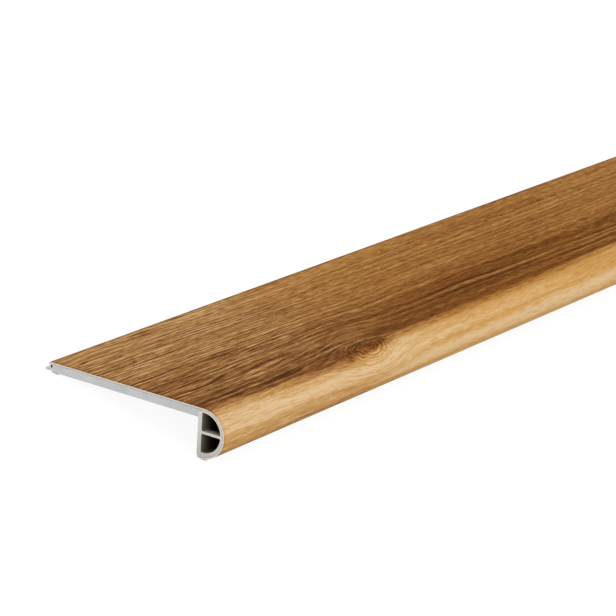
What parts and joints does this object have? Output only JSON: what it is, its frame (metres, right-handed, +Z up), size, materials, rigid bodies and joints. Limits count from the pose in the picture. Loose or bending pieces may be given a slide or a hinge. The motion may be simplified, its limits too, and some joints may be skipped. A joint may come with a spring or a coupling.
{
  "type": "stair tread",
  "caption": "Flush stair tread nosing: a thin wood-look board with a locking rear edge and a hollow half-round nose that covers the front edge of a step.",
  "frame": {"origin": "centre of the bounding box's footprint, on the floor that the part lies on", "axes": "+X towards the half-round nose, +Y along the length, +Z up as the part lies by itself, with the walking face leaning back about 12 degrees onto the rear edge of its underside"},
  "size_m": [0.1134, 2.4, 0.0259],
  "materials": {
    "rigid_core": "sawn and milled stone-plastic core, matt light grey",
    "nose_pvc": "extruded rigid PVC, matt light grey",
    "wood_look_vinyl": "printed oak-look vinyl, satin"
  },
  "bodies": {
    "root": {"core_board": "rigid_core", "nose_profile": "nose_pvc", "wood_look_wrap": "wood_look_vinyl"}
  },
  "joints": []
}
